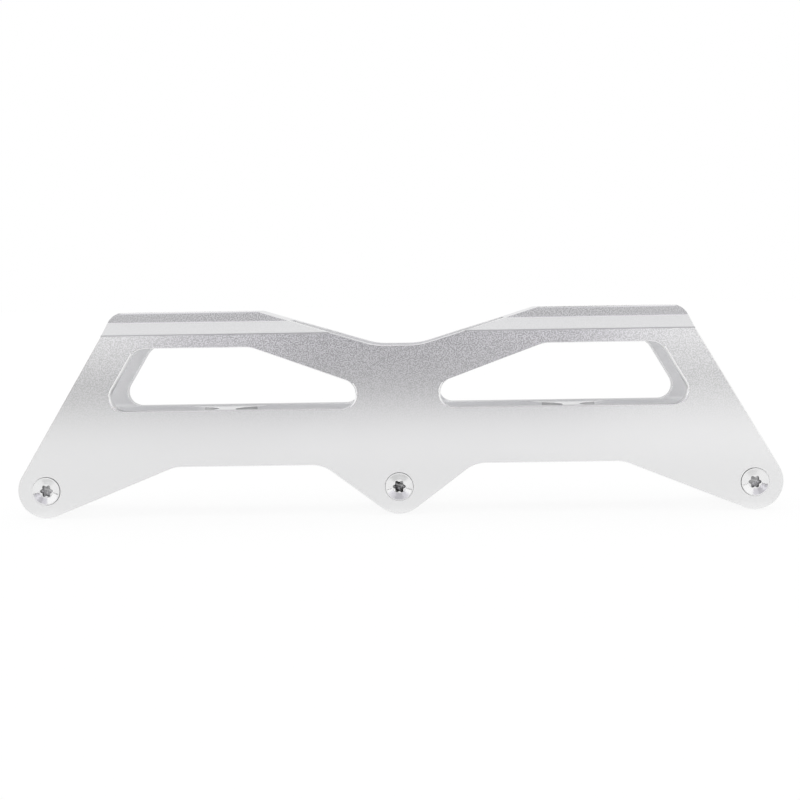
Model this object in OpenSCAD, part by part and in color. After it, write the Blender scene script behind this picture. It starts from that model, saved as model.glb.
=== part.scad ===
// Inline skate frame for three large wheels: a milled aluminium channel with its three axles.
// Millimetres. X runs along the wheels, front at +X; Y across the frame; Z up.
// The origin is on the ground under the middle axle, on the frame's centre plane.
// Heights called "over the axles" are measured from the line through the three axles.

/* [Wheels] */
// Distance from the first axle to the last
wheelbase = 255; // [245:0.5:290]
// Width of a wheel's hub over its two bearings
hub_w = 24.4; // [23:0.1:25]
// Width of the slots that the wheels pass through
wheel_slot_w = 25.5; // [24:0.1:26.5]

/* [Side plates] */
// Width over both side plates
frame_w = 36; // [34:0.5:42]
// Thickness of a side plate
plate_t = 4.5; // [3.5:0.1:5]
// Radius of the lobes at the two end axles
end_lobe_r = 10.2; // [9:0.1:12]
// Height of an end lobe's centre over the axles
end_lobe_lift = 0.2; // [0:0.1:1]
// Radius of the lobe at the middle axle
middle_lobe_r = 10; // [9:0.1:11]
// Slope of the underside towards the end lobes, in degrees
end_underside_slope = 21.9; // [18:0.1:26]
// Slope of the underside towards the middle lobe, in degrees
middle_underside_slope = 37; // [32:0.5:42]
// Height of the flat underside over the axles
belly_h = 8.1; // [6:0.1:12]
// Fillet where the flat underside meets its slopes
belly_fillet = 12; // [2:0.5:18]
// Radius of the thickened seats round the axles, inside the plates
boss_r = 7; // [6:0.1:8]

/* [Decks] */
// Height of the deck tops over the axles
deck_h = 63.8; // [62:0.1:70]
// Width of a deck
deck_w = 28.6; // [26:0.1:32]
// Thickness of a deck
deck_t = 3.7; // [3:0.1:5]
// Length of a deck's top
deck_l = 52.2; // [40:0.1:55]
// Distance from a mounting slot's centre to the outer end of its deck
deck_past_mount = 20.7; // [15:0.1:24]
// Lean of a deck's outer end from upright, in degrees
deck_end_lean = 20; // [12:0.1:30]
// Radius of the outer top corner of a deck
deck_corner_r = 6; // [0.5:0.1:7]
// Height of the leaning wall between plate and deck
shoulder_rise = 4.4; // [3.5:0.1:6]
// Thickness of the leaning wall between plate and deck
shoulder_t = 4; // [3:0.1:5]
// Fillet in the corners inside the channel
channel_fillet = 1.5; // [0.5:0.1:2]

/* [Waist] */
// Drop from the deck tops to the waist
waist_drop = 13; // [10:0.1:16]
// Length of the level waist between the slopes from the two decks
waist_l = 16; // [12:0.1:24]
// Fillet where a slope meets the waist
waist_fillet = 25; // [5:1:28]

/* [Windows] */
// Height of the window's lower edge over the axles
window_low = 28.3; // [25:0.1:31]
// Height of the metal between the window's upper edge and the shoulder
window_rail = 4.8; // [3:0.1:7]
// Width of the metal between the window and the frame's end, square to the end
window_end_band = 13; // [9:0.1:15]
// Distance from the middle axle to the window's inner end
window_start = 15.2; // [13:0.1:20]
// Height of the window's inner end
window_nose_h = 9; // [8.5:0.1:12]
// Slope of the window's upper edge near the waist, in degrees
window_slope = 20; // [16:0.5:22]
// Corner radius at the inner end and at the lower outer corner
window_nose_r = 5.2; // [2:0.1:5.2]
// Corner radius at the upper outer corner
window_top_r = 6.5; // [2:0.1:8]
// Radius where the upper edge turns down to the waist
window_bend_r = 11; // [2:0.5:16]

/* [Web] */
// Drop from the window's lower edge to the top of the web
web_drop = 0.5; // [0.2:0.1:2]
// Thickness of the web
web_t = 4; // [3:0.1:6]
// Length of a web bridge at its narrowest, halfway between two wheels
bridge_l = 6; // [4:0.1:10]

/* [Boot mount] */
// Distance between the two mounting slots
mount_spacing = 165; // [150:1:170]
// Width of a mounting slot
mount_slot_w = 6.6; // [5.4:0.1:8.4]
// Length of a mounting slot, end to end
mount_slot_l = 24; // [16:0.5:28]

/* [Axles] */
// Outer diameter of an axle sleeve
sleeve_d = 8; // [7.6:0.1:8.4]
// Thread diameter of an axle screw
screw_d = 6; // [5:0.1:6]
// Thread pitch of an axle screw
thread_pitch = 1; // [0.8:0.1:1]
// Number of thread turns on each side of the lock ring
thread_turns = 6; // [5:1:6]
// Plain neck between a screw's head and its thread
neck_l = 1.5; // [1:0.1:2]
// Diameter of the screw and sleeve heads
head_d = 9.8; // [9.4:0.1:11]
// Depth of the counterbore that a head sits in
seat_depth = 3; // [2:0.1:3.4]
// Height of a head's rim above the plate
head_proud = 0.5; // [0.2:0.1:1]
// Width of the flat rim of a head
head_rim_w = 0.25; // [0.1:0.05:0.5]
// Depth of the conical dish in a head
dish_depth = 0.7; // [0.3:0.1:0.9]
// Diameter of the flat at the bottom of the dish
dish_floor_d = 5; // [4.6:0.1:5.5]
// Size of the six-lobe socket across its points
socket_d = 4.5; // [3.8:0.1:4.5]
// Depth of the six-lobe socket
socket_depth = 2; // [1.2:0.1:2.2]
// Width of the nylon lock ring
lock_ring_w = 1.9; // [1.2:0.1:2.6]

/* [Clearances] */
// Radial running clearance of a sleeve in the plates and of a screw in its sleeve
running_fit = 0.05; // [0.02:0.01:0.1]
// Gap round a head in its counterbore
head_gap = 0.2; // [0.1:0.05:0.3]
// Gap under a head, and between the end of a sleeve and the screw's head
seat_gap = 0.05; // [0.02:0.01:0.1]

/* [Hidden] */

$fn = 64;
// Degrees of turn for each step of a rounded corner
arc_step = 5;
// How far a cut runs past the metal that it cuts
past = 1;

axle_pitch = wheelbase / 2;
axle_z = end_lobe_r - end_lobe_lift;
front = 1;
middle = 0;
rear = -1;
sides = [-1, 1];
ends = [rear, front];
stations = [rear, middle, front];

face_y = frame_w / 2;
inner_y = face_y - plate_t;
shoulder_h = deck_h - deck_t - shoulder_rise;
shoulder_lean = atan2(face_y - deck_w / 2, shoulder_rise);
web_top = window_low - web_drop;
window_high = shoulder_h - window_rail;

// A line is held as [a, b, c] with a * x + b * z = c, where (a, b) is its unit normal
function line(point, normal) = [cos(normal), sin(normal), point.x * cos(normal) + point.y * sin(normal)];
function moved(l, distance) = [l[0], l[1], l[2] + distance];
function level(z) = [0, 1, z];
function upright(x) = [1, 0, x];
function meet(l, m) =
    let (det = l[0] * m[1] - l[1] * m[0])
    [(l[2] * m[1] - l[1] * m[2]) / det, (l[0] * m[2] - l[2] * m[0]) / det];

// The outline's straight edges on the front half. A deck's end leans out as far as the shoulder's foot, and
// the plates' ends run on from there down to the end lobe.
end_centre = [axle_pitch, end_lobe_lift];
deck_end = [mount_spacing / 2 + deck_past_mount, deck_h];
plate_end = [deck_end.x + (deck_h - shoulder_h) * tan(deck_end_lean), shoulder_h];
end_lean = bearing(plate_end - end_centre) - acos(end_lobe_r / norm(plate_end - end_centre));
deck_end_line = line(deck_end, deck_end_lean);
end_line = line(plate_end, end_lean);
end_underside = moved(line(end_centre, 270 - end_underside_slope), end_lobe_r);
middle_underside = moved(line([0, 0], 270 + middle_underside_slope), middle_lobe_r);
belly = level(belly_h);
deck_top = level(deck_h);
deck_start = deck_end - [deck_l, 0];
waist_end = [waist_l / 2, deck_h - waist_drop];
deck_slope = line(waist_end, 90 + bearing(deck_start - waist_end));
waist = level(waist_end.y);

window_outer = moved(end_line, -window_end_band);
window_roof = level(window_high);
window_floor = level(window_low);
window_nose = upright(window_start);
window_upper = line([window_start, window_low + window_nose_h], 90 + window_slope);

// A corner is held as [x, z, radius]
function corner(l, m, r) = concat(meet(l, m), [r]);
function mirrored(corners) =
    [for (i = [len(corners) - 1 : -1 : 0])
        let (c = corners[i])
        [-c[0], c[1], c[2]]];
function unit(v) = v / norm(v);
function turn(from, to) = let (d = to - from) d > 180 ? d - 360 : d < -180 ? d + 360 : d;
function bearing(v) = atan2(v.y, v.x);

// Points of the arc that rounds corner p, whose neighbours are a and b
function corner_arc(p, a, b, r) =
    let (
        u = unit(a - p),
        v = unit(b - p),
        half = acos(u * v) / 2,
        centre = p + unit(u + v) * r / sin(half),
        from = bearing(p + u * r / tan(half) - centre),
        sweep = turn(from, bearing(p + v * r / tan(half) - centre)),
        steps = max(2, ceil(abs(sweep) / arc_step))
    )
    [for (i = [0 : steps]) centre + r * [cos(from + sweep * i / steps), sin(from + sweep * i / steps)]];

function place(c) = [c[0], c[1]];
function rounded(corners) =
    let (n = len(corners))
    [for (i = [0 : n - 1])
        let (c = corners[i])
        each c[2] > 0
            ? corner_arc(place(c), place(corners[(i + n - 1) % n]), place(corners[(i + 1) % n]), c[2])
            : [place(c)]];

half_outline = [
    corner(middle_underside, belly, belly_fillet),
    corner(belly, end_underside, belly_fillet),
    corner(end_underside, end_line, end_lobe_r),
    corner(end_line, deck_end_line, 0),
    corner(deck_end_line, deck_top, deck_corner_r),
    corner(deck_top, deck_slope, 0),
    corner(deck_slope, waist, waist_fillet)
];
middle_corner = [0, -middle_lobe_r / cos(middle_underside_slope), middle_lobe_r];
side_outline = rounded(concat([middle_corner], half_outline, mirrored(half_outline)));

window_outline = rounded([
    corner(window_nose, window_floor, window_nose_r),
    corner(window_floor, window_outer, window_nose_r),
    corner(window_outer, window_roof, window_top_r),
    corner(window_roof, window_upper, window_bend_r),
    corner(window_upper, window_nose, window_nose_r)
]);

// Cross-section of the extrusion: outer skin, wheel channel under the web and box above it
foot = -end_lobe_r - past;
skin_half = [
    [face_y, foot, 0],
    [face_y, shoulder_h, 0],
    [deck_w / 2, deck_h - deck_t, 0],
    [deck_w / 2, deck_h, 0]
];
skin = concat(skin_half, mirrored(skin_half));
shoulder_inside = moved(line([face_y, shoulder_h], shoulder_lean), -shoulder_t);
box_half = [
    [inner_y, web_top, channel_fillet],
    corner(upright(inner_y), shoulder_inside, channel_fillet),
    corner(shoulder_inside, level(deck_h - deck_t), channel_fillet)
];
box = concat(box_half, mirrored(box_half));
channel_half = [
    [inner_y, foot - past, 0],
    [inner_y, web_top - web_t, channel_fillet]
];
channel = concat(channel_half, mirrored(channel_half));
extrusion_l = wheelbase + 2 * (2 * end_lobe_r);

// Along Y from the near head's top to the far head's top
seat_y = face_y - seat_depth;
head_top = face_y + head_proud;
dish_floor = head_top - dish_depth;
head_r = head_d / 2;
sleeve_r = sleeve_d / 2;
bore_r = sleeve_r + running_fit;
screw_r = screw_d / 2;
tapped_r = screw_r + running_fit;
// Depth of a standard metric thread, and where its crest lies, as shares of the pitch
thread_depth = 0.6134;
crest_from = 0.4;
crest_to = 0.6;
root_r = screw_r - thread_depth * thread_pitch;
groove_w = lock_ring_w + 2 * running_fit;
groove_r = root_r - running_fit;
thread_l = thread_turns * thread_pitch;
screw_l = neck_l + 2 * thread_l + groove_w + thread_pitch;
sleeve_end = seat_y - seat_gap;
// Radius of one lobe of the socket
socket_lobe_r = socket_d / 7;

module across(length) {
    rotate([90, 0, 0])
        linear_extrude(length, center = true)
            children();
}

module along(length) {
    rotate([90, 0, 90])
        linear_extrude(length, center = true)
            children();
}

// A solid of revolution about the Y axis, its profile drawn as [radius, distance along -Y]
module turned_about_y() {
    rotate([90, 0, 0])
        rotate_extrude()
            children();
}

module at_axle(station) {
    translate([station * axle_pitch, 0, axle_z])
        children();
}

module extrusion() {
    along(extrusion_l)
        difference() {
            polygon(rounded(skin));
            polygon(rounded(box));
            polygon(rounded(channel));
        }
}

module long_slot(length, width) {
    square([length - width, width], center = true);
    for (end = sides)
        translate([end * (length - width) / 2, 0])
            circle(d = width);
}

// The slots leave a bridge halfway between the wheels and a narrow ledge along each plate
module wheel_slots() {
    reach = axle_pitch - bridge_l;
    translate([0, 0, web_top - web_t - past])
        linear_extrude(web_t + 2 * past)
            for (station = stations)
                translate([station * axle_pitch, 0])
                    long_slot(reach, wheel_slot_w);
}

module windows() {
    for (end = ends)
        facing(end)
            across(frame_w + 2 * past)
                polygon(window_outline);
}

// What is drawn for the front end, placed at either end
module facing(end) {
    if (end == rear)
        mirror([1, 0, 0])
            children();
    else
        children();
}

module mount_slots() {
    for (end = ends)
        translate([end * mount_spacing / 2, 0, deck_h - deck_t - past])
            linear_extrude(deck_t + 2 * past)
                long_slot(mount_slot_l, mount_slot_w);
}

module bosses() {
    boss_h = inner_y - hub_w / 2 + past;
    for (station = stations, side = sides)
        translate([station * axle_pitch, side * (inner_y + past - boss_h / 2), 0])
            rotate([90, 0, 0])
                cylinder(h = boss_h, r = boss_r, center = true);
}

module axle_bores() {
    for (station = stations)
        translate([station * axle_pitch, 0, 0])
            rotate([90, 0, 0]) {
                cylinder(h = frame_w + 2 * past, r = bore_r, center = true);
                for (side = sides)
                    translate([0, 0, side * (seat_y + (seat_depth + past) / 2)])
                        cylinder(h = seat_depth + past, r = head_r + head_gap, center = true);
            }
}

module six_lobe_socket() {
    linear_extrude(socket_depth + past) {
        circle(d = socket_d - 2 * socket_lobe_r);
        for (i = [0 : 5])
            rotate(60 * i)
                translate([socket_d / 2 - socket_lobe_r, 0])
                    circle(r = socket_lobe_r);
    }
}

// Head profile from its underside at the counterbore's floor, over the rim and down into the dish
function head_profile() =
    let (under = seat_y + seat_gap)
    [
        [0, under],
        [head_r, under],
        [head_r, head_top],
        [head_r - head_rim_w, head_top],
        [dish_floor_d / 2, dish_floor],
        [0, dish_floor]
    ];

module head() {
    difference() {
        turned_about_y()
            polygon(head_profile());
        translate([0, socket_depth - dish_floor, 0])
            rotate([90, 0, 0])
                six_lobe_socket();
    }
}

// One run of thread as a saw-tooth edge, from distance start inwards
function thread_edge(start) =
    [for (i = [0 : thread_turns - 1])
        each [
            [root_r, start - i * thread_pitch],
            [screw_r, start - (i + crest_from) * thread_pitch],
            [screw_r, start - (i + crest_to) * thread_pitch]
        ]];

module screw_shank() {
    top = seat_y + seat_gap;
    first = top - neck_l;
    groove = first - thread_l;
    second = groove - groove_w;
    tip = top - screw_l;
    turned_about_y()
        polygon(concat(
            [[0, top + past], [root_r, top + past]],
            thread_edge(first),
            [[root_r, groove], [groove_r, groove], [groove_r, second]],
            thread_edge(second),
            [[root_r, second - thread_l], [root_r - thread_pitch / 2, tip], [0, tip]]
        ));
}

module axle_screw(station) {
    at_axle(station) {
        head();
        screw_shank();
    }
}

module lock_ring(station) {
    middle_y = seat_y + seat_gap - neck_l - thread_l - groove_w / 2;
    at_axle(station)
        translate([0, -middle_y, 0])
            rotate([90, 0, 0])
                difference() {
                    cylinder(h = lock_ring_w, r = screw_r, center = true);
                    cylinder(h = lock_ring_w + 2 * past, r = groove_r + running_fit, center = true);
                }
}

// The head's end is at +Y; the tapped end stops just short of the screw's head
module axle_sleeve(station) {
    tapped_l = screw_l + thread_pitch;
    at_axle(station)
        rotate([0, 0, 180])
            difference() {
                union() {
                    head();
                    translate([0, (sleeve_end - seat_y - past) / 2, 0])
                        rotate([90, 0, 0])
                            cylinder(h = sleeve_end + seat_y + past, r = sleeve_r, center = true);
                }
                translate([0, sleeve_end + past, 0])
                    rotate([90, 0, 0])
                        cylinder(h = tapped_l + past, r = tapped_r);
            }
}

module frame_body() {
    color("silver")
        translate([0, 0, axle_z])
            difference() {
                union() {
                    intersection() {
                        extrusion();
                        across(frame_w + 2 * past)
                            polygon(side_outline);
                    }
                    bosses();
                }
                wheel_slots();
                windows();
                mount_slots();
                axle_bores();
            }
}

module front_axle_sleeve() { color("gainsboro") axle_sleeve(front); }
module middle_axle_sleeve() { color("gainsboro") axle_sleeve(middle); }
module rear_axle_sleeve() { color("gainsboro") axle_sleeve(rear); }
module front_axle_screw() { color("lightgray") axle_screw(front); }
module middle_axle_screw() { color("lightgray") axle_screw(middle); }
module rear_axle_screw() { color("lightgray") axle_screw(rear); }
module front_lock_ring() { color("royalblue") lock_ring(front); }
module middle_lock_ring() { color("royalblue") lock_ring(middle); }
module rear_lock_ring() { color("royalblue") lock_ring(rear); }

frame_body();
front_axle_sleeve();
middle_axle_sleeve();
rear_axle_sleeve();
front_axle_screw();
middle_axle_screw();
rear_axle_screw();
front_lock_ring();
middle_lock_ring();
rear_lock_ring();
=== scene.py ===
"""Looks of an inline skate frame: a milled aluminium channel that carries three screw-and-sleeve axles.

Sizes are in metres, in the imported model's frame: X runs along the wheels with the front at +X, Y runs across
the frame with the screw heads at -Y, and Z runs up from the ground under the lobes.
"""

import logging
import math
from dataclasses import dataclass, replace
from enum import Enum, IntEnum
from typing import Any, Callable, Iterable, Sequence

import bmesh
import bpy
from mathutils import Matrix, Vector


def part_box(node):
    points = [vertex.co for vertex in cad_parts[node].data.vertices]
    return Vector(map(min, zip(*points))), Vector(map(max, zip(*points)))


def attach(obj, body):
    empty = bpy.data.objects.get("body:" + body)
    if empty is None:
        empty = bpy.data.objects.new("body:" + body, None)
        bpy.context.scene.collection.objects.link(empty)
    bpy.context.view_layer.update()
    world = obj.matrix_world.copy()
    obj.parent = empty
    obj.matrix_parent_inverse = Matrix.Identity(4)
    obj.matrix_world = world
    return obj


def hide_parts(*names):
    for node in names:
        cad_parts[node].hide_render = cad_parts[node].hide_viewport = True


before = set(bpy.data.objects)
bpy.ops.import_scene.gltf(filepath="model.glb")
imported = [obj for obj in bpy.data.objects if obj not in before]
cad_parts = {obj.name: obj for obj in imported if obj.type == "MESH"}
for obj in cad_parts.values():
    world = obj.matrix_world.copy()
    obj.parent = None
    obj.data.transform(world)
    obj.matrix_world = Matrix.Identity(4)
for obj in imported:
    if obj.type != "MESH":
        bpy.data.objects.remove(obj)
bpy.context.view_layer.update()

LOG = logging.getLogger("skate_frame")
MM = 0.001
FULL_TURN = 2 * math.pi

Colour = tuple[float, float, float]

WHITE: Colour = (1.0, 1.0, 1.0)
# The value that noise wavers about.
NOISE_MIDDLE = 0.5
# What is left of a hole's width where it closes to a point.
TIP_SHARE = 0.02
# How far the widest panels of the studio reach to each side.
REACH = 1.2
# The heights of panels that lie on the floor, and of panels that lie on those.
LAID = 0.2 * MM
LAID_OVER = 0.4 * MM


class Station(Enum):
    """The three axles, by the names that their nodes and bodies start with."""

    FRONT = "front"
    MIDDLE = "middle"
    REAR = "rear"


class Facing(IntEnum):
    """The side of the frame that a head looks to, as the sign of its Y direction."""

    NEAR = -1
    FAR = 1


class Surface(IntEnum):
    """Material slots of the channel."""

    SKIN = 0
    CUT = 1
    EDGE = 2
    INSIDE = 3
    SHOULDER = 4
    DECK_SIDE = 5
    WINDOW = 6
    CREASE = 7
    SLOT = 8


class HeadSurface(IntEnum):
    """Material slots of a piece with a head."""

    OUTSIDE = 0
    SOCKET = 1


class MixSocket(IntEnum):
    """Places of a Mix node's sockets for colours, which share their names with its other sockets."""

    SHARE = 0
    FIRST = 6
    SECOND = 7
    RESULT = 2


def opaque(colour: Colour) -> tuple[float, float, float, float]:
    """Gives a colour as the nodes take it, with its alpha."""
    return (*colour, 1.0)


def shaded(colour: Colour, share: float) -> Colour:
    """Gives a colour at a share of its brightness."""
    return tuple(share * part for part in colour)


class Signal:
    """A node's output that ordinary arithmetic carries on into Math nodes."""

    def __init__(self, graph: "Graph", socket: bpy.types.NodeSocket) -> None:
        """Wraps one output socket of a graph."""
        self.graph = graph
        self.socket = socket

    def also(self, output: str) -> "Signal":
        """Gives another output of the same node."""
        return Signal(self.graph, self.socket.node.outputs[output])

    def math(self, operation: str, *terms: "Signal | float") -> "Signal":
        """Adds a Math node.

        Args:
            operation: the node's own name for what it works out.
            terms: its inputs in order.

        Returns:
            The node's result.
        """
        return self.graph.add("ShaderNodeMath", {"operation": operation}, dict(enumerate(terms)))

    def between(self, low: float, high: float) -> "Signal":
        """Maps low to 0 and high to 1 along a smooth step, and holds the ends."""
        settings = {"interpolation_type": "SMOOTHSTEP"}
        inputs = {"Value": self, "From Min": low, "From Max": high}
        return self.graph.add("ShaderNodeMapRange", settings, inputs)

    def size(self) -> "Signal":
        """Gives the signal without its sign."""
        return self.math("ABSOLUTE", self)

    def root(self) -> "Signal":
        """Gives the square root."""
        return self.math("SQRT", self)

    def sine(self) -> "Signal":
        """Gives the sine."""
        return self.math("SINE", self)

    def or_else(self, other: "Signal") -> "Signal":
        """Gives the larger of two signals."""
        return self.math("MAXIMUM", self, other)

    def at_most(self, other: "Signal") -> "Signal":
        """Gives the smaller of two signals."""
        return self.math("MINIMUM", self, other)

    def __add__(self, other: "Signal | float") -> "Signal":
        """Adds."""
        return self.math("ADD", self, other)

    def __radd__(self, other: float) -> "Signal":
        """Adds to a number."""
        return self.math("ADD", other, self)

    def __sub__(self, other: "Signal | float") -> "Signal":
        """Takes away."""
        return self.math("SUBTRACT", self, other)

    def __rsub__(self, other: float) -> "Signal":
        """Is taken away from a number."""
        return self.math("SUBTRACT", other, self)

    def __mul__(self, other: "Signal | float") -> "Signal":
        """Multiplies."""
        return self.math("MULTIPLY", self, other)

    def __rmul__(self, other: float) -> "Signal":
        """Multiplies a number."""
        return self.math("MULTIPLY", other, self)


class Graph:
    """A node tree while it is being laid out."""

    def __init__(self, tree: bpy.types.NodeTree) -> None:
        """Starts from an empty tree."""
        self.tree = tree
        tree.nodes.clear()

    def add(
        self,
        kind: str,
        settings: dict[str, Any] | None = None,
        inputs: dict[str | int, Any] | None = None,
        output: str | int = 0,
    ) -> Signal | None:
        """Adds one node of any kind.

        Args:
            kind: the node's type.
            settings: its own properties, which are set first.
            inputs: the value or the link of each input socket.
            output: the output that is wanted.

        Returns:
            That output, or None where the node has none.
        """
        node = self.tree.nodes.new(kind)
        for name, value in (settings or {}).items():
            setattr(node, name, value)
        for name, value in (inputs or {}).items():
            if isinstance(value, Signal):
                self.tree.links.new(value.socket, node.inputs[name])
            else:
                node.inputs[name].default_value = value
        return Signal(self, node.outputs[output]) if len(node.outputs) else None

    def place(self) -> Signal:
        """Gives the point on the surface in the object's own metres."""
        return self.add("ShaderNodeTexCoord", output="Object")

    def axes(self, point: Signal) -> tuple[Signal, Signal, Signal]:
        """Splits a point into its three numbers."""
        x = self.add("ShaderNodeSeparateXYZ", inputs={"Vector": point}, output="X")
        return x, x.also("Y"), x.also("Z")

    def stretched(self, point: Signal, by: Sequence[float]) -> Signal:
        """Multiplies a point's three numbers, to draw a texture out along an axis."""
        return self.add("ShaderNodeVectorMath", {"operation": "MULTIPLY"}, {0: point, 1: tuple(by)})

    def noise(self, point: Signal, size: float, detail: float = 2.0) -> Signal:
        """Adds a cloud of noise.

        Args:
            point: where it is read.
            size: the width of one of its lumps.
            detail: how many finer layers it has.

        Returns:
            Its height, from 0 to 1.
        """
        return self.add("ShaderNodeTexNoise", inputs={"Vector": point, "Scale": 1 / size, "Detail": detail})

    def blend(self, share: Signal, first: Colour, second: Colour) -> Signal:
        """Goes from the first colour to the second as share goes from 0 to 1."""
        inputs = {
            MixSocket.SHARE: share,
            MixSocket.FIRST: opaque(first),
            MixSocket.SECOND: opaque(second),
        }
        return self.add("ShaderNodeMix", {"data_type": "RGBA"}, inputs, output=MixSocket.RESULT)

    def bump(self, height: Signal, depth: float) -> Signal:
        """Bends the normal.

        Args:
            height: the relief, from 0 to 1.
            depth: how deep the relief is at its full height.

        Returns:
            The bent normal.
        """
        return self.add("ShaderNodeBump", inputs={"Distance": depth, "Height": height})

    def glow(self, colour: Colour) -> Signal:
        """Gives off a plain colour at full strength."""
        return self.add("ShaderNodeEmission", inputs={"Color": opaque(colour), "Strength": 1.0})

    def mix(self, share: Signal | float, first: Signal, second: Signal) -> Signal:
        """Goes from the first shader to the second as share goes from 0 to 1."""
        return self.add("ShaderNodeMixShader", inputs={0: share, 1: first, 2: second})


@dataclass(frozen=True)
class Finish:
    """What every finish has: a name, a colour and a roughness."""

    name: str
    colour: Colour
    roughness: float

    def shader(self, graph: Graph) -> Signal:
        """Lays out the shader of this finish."""
        raise NotImplementedError(self.name)

    def material(self) -> bpy.types.Material:
        """Makes the material, once for all the pieces that share it.

        Returns:
            The material.
        """
        name = f"{self.name}_finish"
        made = bpy.data.materials.get(name)
        if made is None:
            made = bpy.data.materials.new(name)
            made.use_nodes = True
            graph = Graph(made.node_tree)
            graph.add("ShaderNodeOutputMaterial", inputs={"Surface": self.shader(graph)})
        return made


@dataclass(frozen=True)
class BlastedSkin(Finish):
    """Bead-blasted, anodised aluminium with painted sparkle: its grain is real, but its light specks are
    painted glints, painted stronger higher up and weaker at the ends and towards the lobes, where the
    reflections show them less.
    """

    grain: float = 0.42 * MM
    grain_detail: float = 1.0
    pit: float = 0.61
    painted_glint: float = 1.11
    contrast: float = 0.12
    fade_low: float = 28 * MM
    fade_high: float = 63 * MM
    fade_middle: float = 55 * MM
    fade_end: float = 105 * MM
    fade_share: float = 0.42
    haze: float = 0.3
    haze_roughness: float = 0.34
    grain_depth: float = 0.002 * MM
    cloud: float = 9 * MM
    cloud_detail: float = 3.0
    roughness_spread: float = 0.03

    def shader(self, graph: Graph) -> Signal:
        """Lays painted sparkle over a faint cloud of roughness, with a haze about each highlight."""
        point = graph.place()
        x, _, height = graph.axes(point)
        outwards = x.size().between(self.fade_middle, self.fade_end)
        grain = graph.noise(point, self.grain, self.grain_detail)
        sharp = grain.between(NOISE_MIDDLE - self.contrast, NOISE_MIDDLE + self.contrast)
        cloud = graph.noise(point, self.cloud, self.cloud_detail)
        # Painted glints: the specks show fully high on the skin and less at the ends and towards the lobes,
        # and where they show they also darken the skin on average.
        strength = height.between(self.fade_low, self.fade_high).at_most(1 - outwards * self.fade_share)
        plain = (1 - self.pit) / (self.painted_glint - self.pit)
        share = plain + (sharp - plain) * strength
        inputs = {
            "Base Color": graph.blend(share, shaded(self.colour, self.pit), shaded(self.colour, self.painted_glint)),
            "Metallic": 1.0,
            "Roughness": self.roughness + (cloud - NOISE_MIDDLE) * self.roughness_spread,
            "Normal": graph.bump(grain, self.grain_depth),
        }
        clear = graph.add("ShaderNodeBsdfPrincipled", inputs=inputs)
        hazy = graph.add("ShaderNodeBsdfPrincipled", inputs=inputs | {"Roughness": self.haze_roughness})
        return graph.mix(self.haze, clear, hazy)


@dataclass(frozen=True)
class MilledCut(Finish):
    """Metal as a cutter, a die or a punch leaves it, with fine marks across the wall."""

    mark: float = 0.35 * MM
    mark_length: float = 14 * MM
    mark_depth: float = 0.0025 * MM
    cloud: float = 6 * MM
    cloud_detail: float = 3.0
    roughness_spread: float = 0.08
    metallic: float = 1.0
    hollow: float = 0.93
    patch_low: float = 0.0
    patch_high: float = 1.0

    def shader(self, graph: Graph) -> Signal:
        """Draws the tool's marks out along Y, the axis that it turned or moved on."""
        point = graph.place()
        marks = graph.noise(graph.stretched(point, (1.0, self.mark / self.mark_length, 1.0)), self.mark)
        cloud = graph.noise(point, self.cloud, self.cloud_detail)
        patches = marks.between(self.patch_low, self.patch_high)
        inputs = {
            "Base Color": graph.blend(patches, shaded(self.colour, self.hollow), self.colour),
            "Metallic": self.metallic,
            "Roughness": self.roughness + (cloud - NOISE_MIDDLE) * self.roughness_spread,
            "Normal": graph.bump(marks, self.mark_depth),
        }
        return graph.add("ShaderNodeBsdfPrincipled", inputs=inputs)


@dataclass(frozen=True)
class TurnedPlate(Finish):
    """Steel turned on a lathe and plated bright, with the tool's rings still faintly there."""

    ring: float
    ring_depth: float
    smear: float = 3 * MM
    smear_share: float = 0.9
    smear_low: float = 0.3
    smear_high: float = 0.8
    roughness_spread: float = 0.10

    def shader(self, graph: Graph) -> Signal:
        """Lays rings round the piece's own axis, which is its Y axis."""
        point = graph.place()
        x, y, z = graph.axes(point)
        along = (x * x + z * z).root() + y
        rings = (along * (FULL_TURN / self.ring)).sine()
        smear = graph.noise(point, self.smear)
        duller = smear.between(self.smear_low, self.smear_high)
        inputs = {
            "Base Color": graph.blend(smear, shaded(self.colour, self.smear_share), self.colour),
            "Metallic": 1.0,
            "Roughness": self.roughness + duller * self.roughness_spread,
            "Normal": graph.bump(rings, self.ring_depth),
        }
        return graph.add("ShaderNodeBsdfPrincipled", inputs=inputs)


@dataclass(frozen=True)
class MouldedNylon(Finish):
    """Dyed nylon with a faint moulded skin."""

    grain: float = 0.18 * MM
    grain_detail: float = 3.0
    grain_depth: float = 0.01 * MM
    mottle: float = 0.75
    roughness_spread: float = 0.15

    def shader(self, graph: Graph) -> Signal:
        """Mottles the dye and roughens the skin."""
        grain = graph.noise(graph.place(), self.grain, self.grain_detail)
        inputs = {
            "Base Color": graph.blend(grain, shaded(self.colour, self.mottle), self.colour),
            "Roughness": self.roughness + grain * self.roughness_spread,
            "Normal": graph.bump(grain, self.grain_depth),
        }
        return graph.add("ShaderNodeBsdfPrincipled", inputs=inputs)


@dataclass(frozen=True)
class WhiteFloor(Finish):
    """A white sweep that mostly glows white to the eye and in metal, and still takes a soft shadow."""

    glow: float = 0.9

    def shader(self, graph: Graph) -> Signal:
        """Mixes matt white with a plain white glow for the rays that see the background."""
        matt = graph.add("ShaderNodeBsdfDiffuse", inputs={"Color": opaque(self.colour)})
        return graph.mix(seen_as_background(graph) * self.glow, matt, graph.glow(WHITE))


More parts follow.
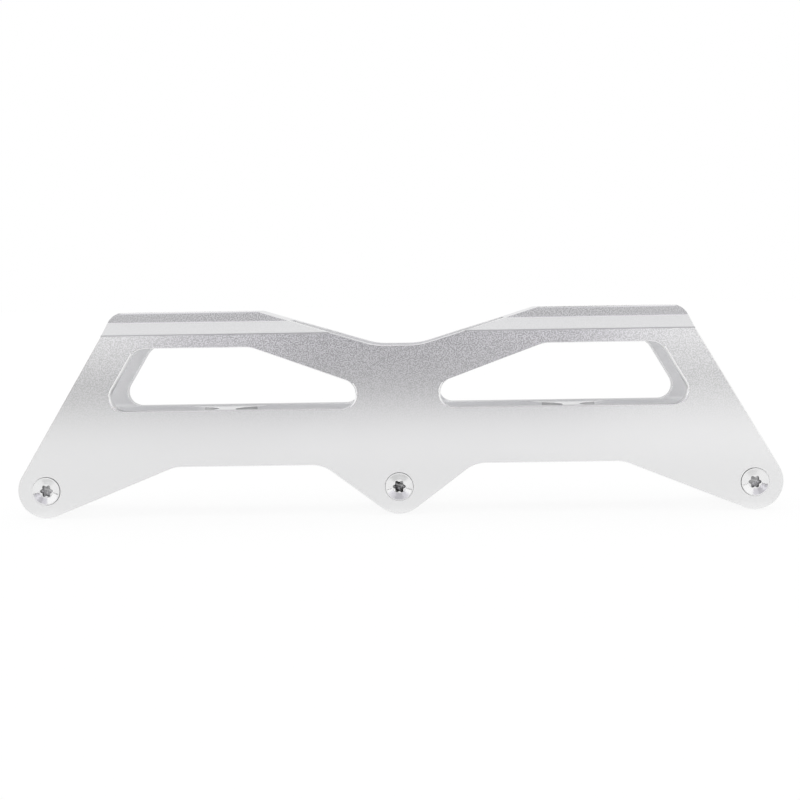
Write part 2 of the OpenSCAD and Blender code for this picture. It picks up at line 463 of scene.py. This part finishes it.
@dataclass(frozen=True)
class FlagCloth(Finish):
    """Grey cloth of a studio flag, which only shows in reflections."""

    grazed: Colour
    low: float = math.radians(25)
    steep: float = math.radians(36)

    def shader(self, graph: Graph) -> Signal:
        """Gives off its own grey, which no lamp changes, and another grey towards what is low down."""
        _, _, rise = graph.axes(graph.add("ShaderNodeNewGeometry", output="Incoming"))
        share = rise.between(math.sin(self.low), math.sin(self.steep))
        return graph.mix(share, graph.glow(self.grazed), graph.glow(self.colour))


def seen_as_background(graph: Graph) -> Signal:
    """Is 1 for rays that show the background: from the camera, off metal and through glass."""
    path = graph.add("ShaderNodeLightPath", output="Is Camera Ray")
    return path.or_else(path.also("Is Glossy Ray")).or_else(path.also("Is Transmission Ray"))


BLASTED = BlastedSkin("blasted_skin", (0.89, 0.89, 0.893), roughness=0.16)
SHOULDER_SKIN = BlastedSkin("blasted_shoulder", (0.84, 0.84, 0.845), roughness=0.17, pit=0.97, painted_glint=1.03)
# Painted shade: the deck sides are a darker copy of the blasted skin.
DECK_SKIN = BlastedSkin(
    "deck_side_painted_shade",
    (0.63, 0.63, 0.635),
    roughness=0.45,
    pit=0.78,
    painted_glint=1.22,
    haze_roughness=0.5,
)
MILLED = MilledCut("milled_cut", (0.76, 0.76, 0.77), roughness=0.30)
# Painted shade: the walls round the windows are a darker copy of the milled cut, for the shade inside the
# openings.
SHADED_WINDOW_CUT = MilledCut("window_wall_painted_shade", (0.60, 0.60, 0.61), roughness=0.40)
DRAWN = MilledCut(
    "drawn_inside",
    (0.86, 0.86, 0.87),
    roughness=0.45,
    mark_length=0.35 * MM,
    metallic=0.55,
)
# Painted highlight: the broken edges are lighter and glossier than the skin round them, on top of the real
# reflection of their rounding.
BROKEN_EDGE = MilledCut("broken_edge_painted_highlight", (0.97, 0.97, 0.972), roughness=0.15)
# Painted shade: the crease between the skin and the shoulder is darkened to a dark line.
CREASE = MilledCut("crease_painted_shade", (0.60, 0.60, 0.605), roughness=0.45)
# Painted shade: the rounded ends of the slots in the web are darkened for the shadow inside them.
SLOT_END = MilledCut("slot_end_painted_shade", (0.55, 0.55, 0.555), roughness=0.35)
CHANNEL_FINISH: dict[Surface, Finish] = {
    Surface.SKIN: BLASTED,
    Surface.CUT: MILLED,
    Surface.EDGE: BROKEN_EDGE,
    Surface.INSIDE: DRAWN,
    Surface.SHOULDER: SHOULDER_SKIN,
    Surface.DECK_SIDE: DECK_SKIN,
    Surface.WINDOW: SHADED_WINDOW_CUT,
    Surface.CREASE: CREASE,
    Surface.SLOT: SLOT_END,
}
PLATED = TurnedPlate(
    "bright_plate",
    (0.97, 0.97, 0.972),
    roughness=0.10,
    ring=0.7 * MM,
    ring_depth=0.0025 * MM,
)
GROUND = TurnedPlate(
    "ground_shank",
    (0.70, 0.70, 0.71),
    roughness=0.28,
    ring=1.2 * MM,
    ring_depth=0.0008 * MM,
)
PUNCHED = MilledCut(
    "punched_socket",
    (0.57, 0.57, 0.575),
    roughness=0.28,
    mark=0.9 * MM,
    mark_length=0.9 * MM,
    mark_depth=0.04 * MM,
    hollow=0.55,
    patch_low=0.42,
    patch_high=0.64,
)
DARKER_SOCKET = replace(
    PUNCHED,
    name="darker_socket",
    colour=(0.42, 0.42, 0.425),
    hollow=0.08,
    mark_depth=0.06 * MM,
)
NYLON = MouldedNylon("dyed_nylon", (0.08, 0.20, 0.55), roughness=0.42)
SWEEP = WhiteFloor("white_sweep", (0.9, 0.9, 0.9), roughness=0.8)


def new_piece(
    name: str,
    mesh: bmesh.types.BMesh,
    finishes: Iterable[Finish],
    place: Vector,
) -> bpy.types.Object:
    """Turns a bmesh into an object with its materials.

    Args:
        name: the piece's name.
        mesh: the shape, which is used up.
        finishes: the finishes, in the order of the material slots.
        place: where the shape's own origin goes.

    Returns:
        The object.
    """
    data = bpy.data.meshes.new(name)
    mesh.to_mesh(data)
    mesh.free()
    piece = bpy.data.objects.new(name, data)
    piece.location = place
    bpy.context.scene.collection.objects.link(piece)
    for finish in finishes:
        data.materials.append(finish.material())
    return piece


@dataclass(frozen=True)
class Ring:
    """One ring of a turned piece.

    Attributes:
        out: its distance along the axis from the frame's centre plane, towards the head.
        radius: its radius at each angle.
        surface: the material slot of the skin that leads up to it.
    """

    out: float
    radius: Callable[[float], float]
    surface: HeadSurface = HeadSurface.OUTSIDE


def round_ring(out: float, radius: float) -> Ring:
    """Gives a ring of one radius."""
    return Ring(out, lambda angle: radius)


@dataclass(frozen=True)
class Lathe:
    """Makes turned meshes about the Y axis from lists of rings."""

    sides: int = 96

    def turn(self, rings: Sequence[Ring], facing: Facing, closed: bool = False) -> bmesh.types.BMesh:
        """Joins rings to a skin.

        Args:
            rings: the rings in order along the skin.
            facing: the side that the rings' out distances point to.
            closed: True joins the last ring to the first, and False caps both.

        Returns:
            The shape as a bmesh.
        """
        mesh = bmesh.new()
        loops = [self.loop(mesh, ring, facing) for ring in rings]
        if closed:
            self.skin(mesh, loops[-1], loops[0], rings[0].surface)
        else:
            mesh.faces.new(loops[0]).material_index = rings[0].surface
            mesh.faces.new(loops[-1]).material_index = rings[-1].surface
        for first, second, ring in zip(loops, loops[1:], rings[1:]):
            self.skin(mesh, first, second, ring.surface)
        bmesh.ops.recalc_face_normals(mesh, faces=mesh.faces)
        for face in mesh.faces:
            face.smooth = True
        return mesh

    def skin(
        self,
        mesh: bmesh.types.BMesh,
        first: Sequence[bmesh.types.BMVert],
        second: Sequence[bmesh.types.BMVert],
        surface: HeadSurface,
    ) -> None:
        """Joins the points of two rings with one band of faces."""
        for i in range(self.sides):
            j = (i + 1) % self.sides
            mesh.faces.new((first[i], first[j], second[j], second[i])).material_index = surface

    def loop(self, mesh: bmesh.types.BMesh, ring: Ring, facing: Facing) -> list[bmesh.types.BMVert]:
        """Adds the points of one ring."""
        points = []
        for i in range(self.sides):
            angle = FULL_TURN * i / self.sides
            radius = ring.radius(angle)
            point = (radius * math.cos(angle), facing * ring.out, radius * math.sin(angle))
            points.append(mesh.verts.new(point))
        return points


@dataclass(frozen=True)
class Thread:
    """A right-hand metric thread, cut into a shank or into a bore."""

    pitch: float = 1 * MM
    depth: float = 0.61 * MM
    rows: int = 12
    flank: float = 0.4
    run_out: float = 0.6

    def share(self, turns: float) -> float:
        """Gives the height of the thread's profile, from 0 to 1, at a place in turns along it."""
        from_crest = abs(turns % 1.0 - 0.5)
        return min(1.0, max(0.0, (0.5 - from_crest) / self.flank))

    def rings(self, start: float, end: float, foot: float, rise: float) -> list[Ring]:
        """Makes the rings of one run of thread.

        Args:
            start: the out distance of its first ring.
            end: the out distance of its last ring.
            foot: the radius that the profile rises from.
            rise: how far outwards it rises, to a screw's crests or to the bottom of a bore's groove.

        Returns:
            The rings from start to end.
        """
        count = max(2, round(abs(end - start) / self.pitch * self.rows))

        def cut(out: float) -> Ring:
            """Gives the ring at one place, with a lower crest near the ends of the run."""
            to_end = min(abs(out - start), abs(out - end)) / self.pitch
            crest = rise * min(1.0, to_end / self.run_out)
            turns = out / self.pitch
            return Ring(out, lambda angle: foot + crest * self.share(turns - angle / FULL_TURN))

        return [cut(start + (end - start) * i / count) for i in range(count + 1)]


@dataclass(frozen=True)
class Head:
    """A head with a thin rim, a conical dish and a six-lobe socket, alike on screws and sleeves."""

    radius: float
    top: float
    under: float = 15.05 * MM
    swell: float = 0.08 * MM
    edge: float = 0.1 * MM
    rim_width: float = 0.25 * MM
    dish_radius: float = 2.5 * MM
    dish_depth: float = 0.7 * MM
    lip: float = 0.04 * MM
    socket_middle: float = 1.92 * MM
    socket_wave: float = 0.33 * MM
    socket_depth: float = 2 * MM
    socket_mouth: float = 0.1 * MM
    socket_lobes: int = 6
    socket_cone: float = 0.35 * MM
    cone_steps: tuple[tuple[float, float], ...] = ((0.5, 0.5), (1.0, TIP_SHARE))

    def lobed(self, out: float, grown: float = 0.0, share: float = 1.0) -> Ring:
        """Gives a ring of the socket's six-lobe outline, grown or shrunk."""
        middle = self.socket_middle + grown
        surface = HeadSurface.OUTSIDE if grown else HeadSurface.SOCKET

        def outline(angle: float) -> float:
            """Gives the outline's radius at an angle."""
            return share * (middle + self.socket_wave * math.cos(self.socket_lobes * angle))

        return Ring(out, outline, surface)

    def rings(self) -> list[Ring]:
        """Makes the rings from the underside over the rim and the dish to the socket's floor."""
        widest = self.radius + self.swell
        inner = self.radius - self.rim_width
        bottom = self.top - self.dish_depth
        slope = self.dish_depth / (inner - self.dish_radius)
        floor = bottom - self.socket_depth
        # Two rings near each end of the cone keep its shading straight up to its edges.
        cone = [inner - i * self.lip for i in (1, 2)] + [self.dish_radius + i * self.lip for i in (2, 1)]
        return [
            round_ring(self.under, widest - self.edge),
            round_ring(self.under + self.edge, widest),
            round_ring(self.top - self.edge, widest),
            round_ring(self.top, widest - self.edge),
            round_ring(self.top, inner + self.lip),
            *(round_ring(self.top - (inner - radius) * slope, radius) for radius in cone),
            round_ring(bottom, self.dish_radius - self.lip),
            self.lobed(bottom, self.socket_mouth),
            self.lobed(bottom - self.socket_mouth),
            self.lobed(floor),
            *(self.lobed(floor - self.socket_cone * deep, share=wide) for deep, wide in self.cone_steps),
        ]


@dataclass(frozen=True)
class AxlePlace:
    """Where one axle is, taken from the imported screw."""

    station: Station

    def node(self, piece: str) -> str:
        """Gives the name of one of this axle's nodes or bodies."""
        return f"{self.station.value}_{piece}"

    def centre(self) -> Vector:
        """Gives the point where the axle crosses the frame's centre plane."""
        low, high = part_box(self.node("axle_screw"))
        return Vector(((low.x + high.x) / 2, 0.0, (low.z + high.z) / 2))

    def socket_finish(self) -> Finish:
        """Gives the finish in the sockets, which is darker in the middle axle's socket."""
        return DARKER_SOCKET if self.station is Station.MIDDLE else PUNCHED

    def head(self, piece: str, facing: Facing) -> Head:
        """Measures a piece's head from its node."""
        low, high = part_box(self.node(piece))
        top = high.y if facing is Facing.FAR else -low.y
        return Head(radius=(high.x - low.x) / 2, top=top)


@dataclass(frozen=True)
class Turning:
    """What the turned pieces of an axle share."""

    axle: AxlePlace
    lathe: Lathe = Lathe()
    thread: Thread = Thread()
    crisp: float = math.radians(38)

    def settle(
        self,
        mesh: bmesh.types.BMesh,
        name: str,
        node: str,
        body: str,
        finish: Finish,
        slot: str,
    ) -> None:
        """Makes a piece of a shape and puts it in its node's place.

        Args:
            mesh: the shape.
            name: the piece's name after its station.
            node: the node that it stands for, after its station.
            body: the body that it moves with, after its station.
            finish: its finish.
            slot: the name of a material slot, which is not used.
        """
        finishes = [finish, self.axle.socket_finish()]
        piece = new_piece(self.axle.node(name), mesh, finishes, self.axle.centre())
        piece.data.set_sharp_from_angle(angle=self.crisp)
        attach(piece, self.axle.node(body))
        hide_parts(self.axle.node(node))
        LOG.info("%s stands for %s", piece.name, self.axle.node(node))


@dataclass(frozen=True)
class AxleScrew(Turning):
    """A plated screw with two runs of thread and a groove between them for the lock ring."""

    root: float = 2.387 * MM
    neck: float = 1.5 * MM
    run: float = 6 * MM
    groove: float = 2 * MM
    groove_radius: float = 2.337 * MM
    point: float = 1 * MM
    point_radius: float = 1.887 * MM

    def build(self) -> None:
        """Turns the screw from its tip to the floor of its socket."""
        head = self.axle.head("axle_screw", Facing.NEAR)
        first = head.under - self.neck
        groove = first - self.run
        second = groove - self.groove
        tip = second - self.run
        rings = [round_ring(tip - self.point, self.point_radius)]
        rings += self.thread.rings(tip, second, self.root, self.thread.depth)
        rings += [round_ring(second, self.groove_radius), round_ring(groove, self.groove_radius)]
        rings += self.thread.rings(groove, first, self.root, self.thread.depth)
        rings.append(round_ring(head.under, self.root))
        rings += head.rings()
        mesh = self.lathe.turn(rings, Facing.NEAR)
        self.settle(mesh, "threaded_screw", "axle_screw", "screw", PLATED, "plated_steel")


@dataclass(frozen=True)
class AxleSleeve(Turning):
    """A ground sleeve that carries a wheel's bearings, tapped from its near end."""

    radius: float = 4 * MM
    chamfer: float = 0.4 * MM
    near_end: float = 14.95 * MM
    tapped: float = 17.5 * MM
    bore: float = 3.05 * MM
    tap_depth: float = 0.3 * MM
    mouth: float = 0.35 * MM

    def build(self) -> None:
        """Turns the sleeve from the bottom of its bore round to the floor of its socket."""
        head = self.axle.head("axle_sleeve", Facing.FAR)
        bottom = self.tapped - self.near_end
        end = -self.near_end
        rings = [round_ring(bottom, self.bore * TIP_SHARE)]
        rings += self.thread.rings(bottom, end + self.mouth, self.bore, self.tap_depth)
        rings += [
            round_ring(end, self.bore + self.mouth),
            round_ring(end, self.radius - self.chamfer),
            round_ring(end + self.chamfer, self.radius),
            round_ring(head.under, self.radius),
        ]
        rings += head.rings()
        mesh = self.lathe.turn(rings, Facing.FAR)
        self.settle(mesh, "bearing_sleeve", "axle_sleeve", "sleeve", GROUND, "ground_steel")


@dataclass(frozen=True)
class LockRing(Turning):
    """The nylon ring in the screw's groove."""

    edge: float = 0.18 * MM
    edge_steps: int = 4

    def build(self) -> None:
        """Turns the ring's rounded section round the screw."""
        low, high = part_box(self.axle.node("lock_ring"))
        outer = (high.x - low.x) / 2
        inner = AxleScrew(self.axle).root
        rings = []
        corners = ((outer, -low.y, 0), (outer, -high.y, 1), (inner, -high.y, 2), (inner, -low.y, 3))
        for radius, out, quarter in corners:
            rings += self.corner(radius, out, quarter)
        mesh = self.lathe.turn(rings, Facing.NEAR, closed=True)
        self.settle(mesh, "nylon_ring", "lock_ring", "lock", NYLON, "lock_nylon")

    def corner(self, radius: float, out: float, quarter: int) -> list[Ring]:
        """Rounds one corner of the section, which starts on its outer face and turns inwards."""
        inwards = 1 if quarter < 2 else -1
        back = -1 if quarter in (0, 3) else 1
        centre = (radius - inwards * self.edge, out + back * self.edge)
        rings = []
        for i in range(self.edge_steps + 1):
            angle = (1 - quarter) * math.pi / 2 - i / self.edge_steps * math.pi / 2
            place = centre[1] + self.edge * math.sin(angle)
            rings.append(round_ring(place, centre[0] + self.edge * math.cos(angle)))
        return rings


@dataclass(frozen=True)
class ChannelFrame:
    """The one-piece channel, with every sharp edge broken as a deburring tool leaves it."""

    node: str = "frame_body"
    weld: float = 0.002 * MM
    # Angles between faces: what counts as flat, what is broken, and what is shaded as an edge.
    flat: float = math.radians(0.4)
    sharp: float = math.radians(24)
    crisp: float = math.radians(40)
    # Widths that edges are broken by, and the least width of the faces beside them.
    edge_break: float = 0.2 * MM
    window_break: float = 0.7 * MM
    deck_break: float = 0.6 * MM
    crease_break: float = 0.25 * MM
    seat_break: float = 0.1 * MM
    narrow: float = 0.5 * MM
    edge_steps: int = 3
    edge_profile: float = 0.5
    # Limits on one part of a face's normal, which tell walls, shoulders and slot ends from the skin.
    cut_tilt: float = 0.05
    upright: float = 0.95
    hanging: float = -0.7
    rising: float = 0.85
    slot_turn: float = 0.5
    # Places that tell the surfaces apart: the reach of an axle's seat, the decks, the windows and the web.
    seat_reach: float = 5.6 * MM
    deck_foot: float = 69 * MM
    deck_edge: float = 73.7 * MM
    window_low: float = 38 * MM
    window_high: float = 61.2 * MM
    window_near: float = 15 * MM
    window_far: float = 107.8 * MM
    web_low: float = 34 * MM
    web_high: float = 37.6 * MM
    slot_side: float = 12.75 * MM

    def build(self) -> None:
        """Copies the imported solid, breaks its edges and dresses it."""
        mesh = bmesh.new()
        mesh.from_mesh(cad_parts[self.node].data)
        bmesh.ops.remove_doubles(mesh, verts=mesh.verts, dist=self.weld)
        bmesh.ops.dissolve_limit(mesh, angle_limit=self.flat, verts=mesh.verts, edges=mesh.edges)
        for face in mesh.faces:
            face.smooth = True
            face.material_index = self.surface(face)
        axles = [AxlePlace(station).centre() for station in Station]
        sizes = {self.window_break, self.deck_break, self.crease_break, self.edge_break, self.seat_break}
        for size in sorted(sizes, reverse=True):
            sharp = [edge for edge in mesh.edges if self.breaks(edge)]
            self.round_off(mesh, [edge for edge in sharp if self.break_of(edge, axles) == size], size)
        bmesh.ops.remove_doubles(mesh, verts=mesh.verts, dist=self.weld)
        finishes = [CHANNEL_FINISH[surface] for surface in Surface]
        piece = new_piece("channel_frame", mesh, finishes, Vector())
        piece.data.set_sharp_from_angle(angle=self.crisp)
        flatten = piece.modifiers.new("flat_faces", "WEIGHTED_NORMAL")
        flatten.keep_sharp = True
        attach(piece, "frame")
        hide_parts(self.node)
        LOG.info("%s has %d faces", piece.name, len(piece.data.polygons))

    def round_off(self, mesh: bmesh.types.BMesh, edges: list[bmesh.types.BMEdge], size: float) -> None:
        """Rounds edges off by one size."""
        bmesh.ops.bevel(
            mesh,
            geom=edges,
            offset=size,
            offset_type="OFFSET",
            segments=self.edge_steps,
            profile=self.edge_profile,
            affect="EDGES",
            clamp_overlap=False,
            loop_slide=False,
            # The rounded faces take the painted highlight of the broken edges, or the painted shade of the
            # crease.
            material=Surface.CREASE if size == self.crease_break else Surface.EDGE,
        )

    def surface(self, face: bmesh.types.BMFace) -> Surface:
        """Tells the outer skin from the inside of the channel and from the walls cut across it."""
        middle = face.calc_center_median()
        in_web = self.web_low < middle.z < self.web_high and abs(middle.y) < self.slot_side
        # Slot ends take a darker finish, which is painted shade.
        if in_web and abs(face.normal.x) > self.slot_turn:
            return Surface.SLOT
        if abs(face.normal.y) < self.cut_tilt:
            # Walls round the windows take the painted shade of the window finish.
            between = self.window_low < middle.z < self.window_high
            beside = self.window_near < abs(middle.x) < self.window_far
            return Surface.WINDOW if between and beside else Surface.CUT
        if face.normal.y * middle.y < 0:
            return Surface.INSIDE
        if abs(face.normal.y) < self.upright:
            return Surface.SHOULDER
        return Surface.DECK_SIDE if middle.z > self.deck_foot else Surface.SKIN

    def break_of(self, edge: bmesh.types.BMEdge, axles: Sequence[Vector]) -> float:
        """Gives the width that an edge is broken by, from where it is and what meets there."""
        middle = (edge.verts[0].co + edge.verts[1].co) / 2
        if any(math.hypot(middle.x - axle.x, middle.z - axle.z) < self.seat_reach for axle in axles):
            return self.seat_break
        meets = {face.material_index for face in edge.link_faces}
        beside = all(self.hanging < face.normal.z < self.rising for face in edge.link_faces)
        if meets == {Surface.SKIN, Surface.WINDOW} and beside:
            return self.window_break
        on_top = all(vert.co.z > self.deck_edge for vert in edge.verts)
        if meets == {Surface.DECK_SIDE, Surface.CUT} and on_top:
            return self.deck_break
        if meets == {Surface.SKIN, Surface.SHOULDER}:
            return self.crease_break
        return self.edge_break

    def breaks(self, edge: bmesh.types.BMEdge) -> bool:
        """Tells whether an edge is still sharp and has room to be broken on both sides."""
        if len(edge.link_faces) != 2 or edge.calc_face_angle(0.0) < self.sharp:
            return False
        if any(face.material_index in (Surface.EDGE, Surface.CREASE) for face in edge.link_faces):
            return False
        return all(self.width(face, edge) > self.narrow for face in edge.link_faces)

    def width(self, face: bmesh.types.BMFace, edge: bmesh.types.BMEdge) -> float:
        """Measures how far a face reaches from one of its edges."""
        start = edge.verts[0].co
        along = (edge.verts[1].co - start).normalized()
        reaches = [(vert.co - start) - (vert.co - start).dot(along) * along for vert in face.verts]
        return max(reach.length for reach in reaches)


@dataclass(frozen=True)
class Flag:
    """A panel that only metal sees, set up as a rectangle from one corner."""

    name: str
    corner: tuple[float, float, float]
    across: tuple[float, float, float]
    up: tuple[float, float, float]
    colour: Colour
    grazed: Colour

    def build(self) -> None:
        """Sets the panel up and hides it from all but reflections."""
        mesh = bmesh.new()
        corner, across, up = Vector(self.corner), Vector(self.across), Vector(self.up)
        points = (corner, corner + across, corner + across + up, corner + up)
        mesh.faces.new([mesh.verts.new(point) for point in points])
        cloth = FlagCloth(f"flag_{self.name}", self.colour, roughness=1.0, grazed=self.grazed)
        panel = new_piece(f"flag_{self.name}", mesh, [cloth], Vector())
        panel.visible_camera = False
        panel.visible_diffuse = False
        panel.visible_transmission = False
        panel.visible_shadow = False
        LOG.info("flag %s", self.name)


@dataclass(frozen=True)
class Panel:
    """An upright grey panel beyond the camera.

    Attributes:
        name: its name.
        left: the X of its left side.
        right: the X of its right side.
        low: the Z of its foot.
        high: the Z of its head.
        share: its share of white.
    """

    name: str
    left: float
    right: float
    low: float
    high: float
    share: float


@dataclass(frozen=True)
class FloorPanel:
    """A grey panel on the floor in front of the frame.

    Attributes:
        name: its name.
        left: the X of its left side.
        right: the X of its right side.
        near: the Y of its side next to the frame.
        far: the Y of its side next to the camera.
        height: its Z.
        share: its share of white.
        grazed: its share of white as seen from low down.
    """

    name: str
    left: float
    right: float
    near: float
    far: float
    height: float
    share: float
    grazed: float


@dataclass(frozen=True)
class Studio:
    """A white sweep under soft light from above, with flags about the camera and on the floor."""

    floor_reach: float = 30.0
    floor_gap: float = 0.2 * MM
    ambient: float = 0.6
    sun_strength: float = 1.75
    sun_spread: float = math.radians(100)
    panels_y: float = -0.62
    panels: tuple[Panel, ...] = (
        Panel("table_edge_left", -REACH, -0.196, 0.0, 0.0255, 0.05),
        Panel("table_edge_middle", -0.196, 0.1455, 0.0, 0.0235, 0.13),
        Panel("table_edge_right", 0.1455, REACH, 0.006, 0.0235, 0.10),
        Panel("strip_left", -0.196, -0.105, 0.0235, 0.11, 0.73),
        Panel("strip_middle", -0.105, 0.05, 0.0235, 0.11, 0.50),
        Panel("strip_right", 0.05, 0.1455, 0.0235, 0.11, 0.63),
        Panel("strip_end", 0.1455, 0.1755, 0.0235, 0.11, 0.94),
        Panel("brow", -0.35, 0.37, 0.11, 0.2, 0.82),
        Panel("crown_left", -0.35, -0.15, 0.2, 0.72, 0.68),
        Panel("crown_middle", -0.15, 0.15, 0.2, 0.72, 0.52),
        Panel("crown_right", 0.15, 0.37, 0.2, 0.72, 0.68),
    )
    tint: Colour = (1.0, 0.983, 1.04)
    ceiling: float = 1.2
    overhead: Colour = (0.88, 0.88, 0.885)
    # Painted shadow: the foot, the apron and the three shade panels are grey sheets on the floor next to the
    # frame that only reflections see. They stand for the frame's own shadow there, which the glowing floor
    # does not show in metal.
    floor_panels: tuple[FloorPanel, ...] = (
        FloorPanel("foot", -REACH, REACH, -0.02, -0.034, LAID, 0.86, 0.96),
        FloorPanel("apron_shadow", -REACH, REACH, -0.034, -0.2, LAID, 0.89, 0.89),
        FloorPanel("left", -0.7, -0.07, -0.2, -0.6, LAID, 0.95, 0.95),
        FloorPanel("shade_rear", -0.143, -0.1305, -0.031, -0.043, LAID_OVER, 0.70, 0.89),
        FloorPanel("shade_middle", -0.008, 0.008, -0.031, -0.043, LAID_OVER, 0.65, 0.89),
        FloorPanel("shade_front", 0.1305, 0.1425, -0.031, -0.043, LAID_OVER, 0.74, 0.89),
    )

    def build(self) -> None:
        """Sets up the world, the floor, the lamp and the flags."""
        self.world()
        self.floor()
        self.lamp()
        for flag in self.flags():
            flag.build()

    def world(self) -> None:
        """Surrounds everything with white, a little dimmer where it only lights matt surfaces."""
        world = bpy.data.worlds.new("studio")
        world.use_nodes = True
        bpy.context.scene.world = world
        graph = Graph(world.node_tree)
        strength = self.ambient + seen_as_background(graph) * (1 - self.ambient)
        inputs = {"Color": opaque(WHITE), "Strength": strength}
        background = graph.add("ShaderNodeBackground", inputs=inputs)
        graph.add("ShaderNodeOutputWorld", inputs={"Surface": background})

    def floor(self) -> None:
        """Lays the sweep just under the lobes."""
        mesh = bmesh.new()
        bmesh.ops.create_grid(mesh, x_segments=1, y_segments=1, size=self.floor_reach)
        sweep = new_piece("white_sweep", mesh, [SWEEP], Vector((0.0, 0.0, -self.floor_gap)))

    def lamp(self) -> None:
        """Hangs the wide overhead light that casts the soft shadow."""
        lamp = bpy.data.lights.new("overhead", "SUN")
        lamp.energy = self.sun_strength
        lamp.angle = self.sun_spread
        holder = bpy.data.objects.new("overhead", lamp)
        holder.visible_glossy = False
        bpy.context.scene.collection.objects.link(holder)

    def flags(self) -> list[Flag]:
        """Lists the upright panels, the panels on the floor and the ceiling."""
        corner = (-REACH, -REACH, self.ceiling)
        across, deep = (2 * REACH, 0, 0), (0, 2 * REACH, 0)
        over = Flag("ceiling", corner, across, deep, self.overhead, self.overhead)
        laid = [self.laid(panel) for panel in self.floor_panels]
        return [self.upright(panel) for panel in self.panels] + laid + [over]

    def laid(self, panel: FloorPanel) -> Flag:
        """Lays a panel on the floor, in plain grey."""
        grey, grazed = shaded(WHITE, panel.share), shaded(WHITE, panel.grazed)
        corner = (panel.left, panel.far, panel.height)
        across = (panel.right - panel.left, 0, 0)
        return Flag(panel.name, corner, across, (0, panel.near - panel.far, 0), grey, grazed)

    def upright(self, panel: Panel) -> Flag:
        """Stands a panel beyond the camera, in the studio's faintly tinted grey."""
        grey = shaded(self.tint, panel.share)
        across = (panel.right - panel.left, 0, 0)
        corner = (panel.left, self.panels_y, panel.low)
        return Flag(panel.name, corner, across, (0, 0, panel.high - panel.low), grey, grey)


@dataclass(frozen=True)
class Viewpoint:
    """The camera, as it was fitted to the three axles and the frame's outline."""

    place: tuple[float, float, float] = (0.00905, -0.53244, 0.07568)
    yaw: float = math.radians(-0.925)
    pitch: float = math.radians(-3.835)
    roll: float = math.radians(-0.888)
    lens: float = 64.8
    sensor: float = 36.0

    def build(self) -> None:
        """Stands the camera up and makes it the scene's own."""
        ahead = Vector((
            math.sin(self.yaw) * math.cos(self.pitch),
            math.cos(self.yaw) * math.cos(self.pitch),
            math.sin(self.pitch),
        ))
        level = Vector((math.cos(self.yaw), -math.sin(self.yaw), 0.0))
        upright = level.cross(ahead)
        right = math.cos(self.roll) * level + math.sin(self.roll) * upright
        up = math.cos(self.roll) * upright - math.sin(self.roll) * level
        turned = Matrix((right, up, -ahead)).transposed().to_4x4()
        lens = bpy.data.cameras.new("camera")
        lens.lens = self.lens
        lens.sensor_width = self.sensor
        camera = bpy.data.objects.new("camera", lens)
        camera.matrix_world = Matrix.Translation(Vector(self.place)) @ turned
        bpy.context.scene.collection.objects.link(camera)
        bpy.context.scene.camera = camera


def main() -> None:
    """Builds the camera, the studio and every piece in turn."""
    logging.basicConfig(level=logging.INFO, format="%(name)s: %(message)s")
    bpy.context.scene.view_settings.view_transform = "Standard"
    Viewpoint().build()
    Studio().build()
    ChannelFrame().build()
    for station in Station:
        axle = AxlePlace(station)
        AxleSleeve(axle).build()
        AxleScrew(axle).build()
        LockRing(axle).build()


if __name__ == "__main__":
    main()
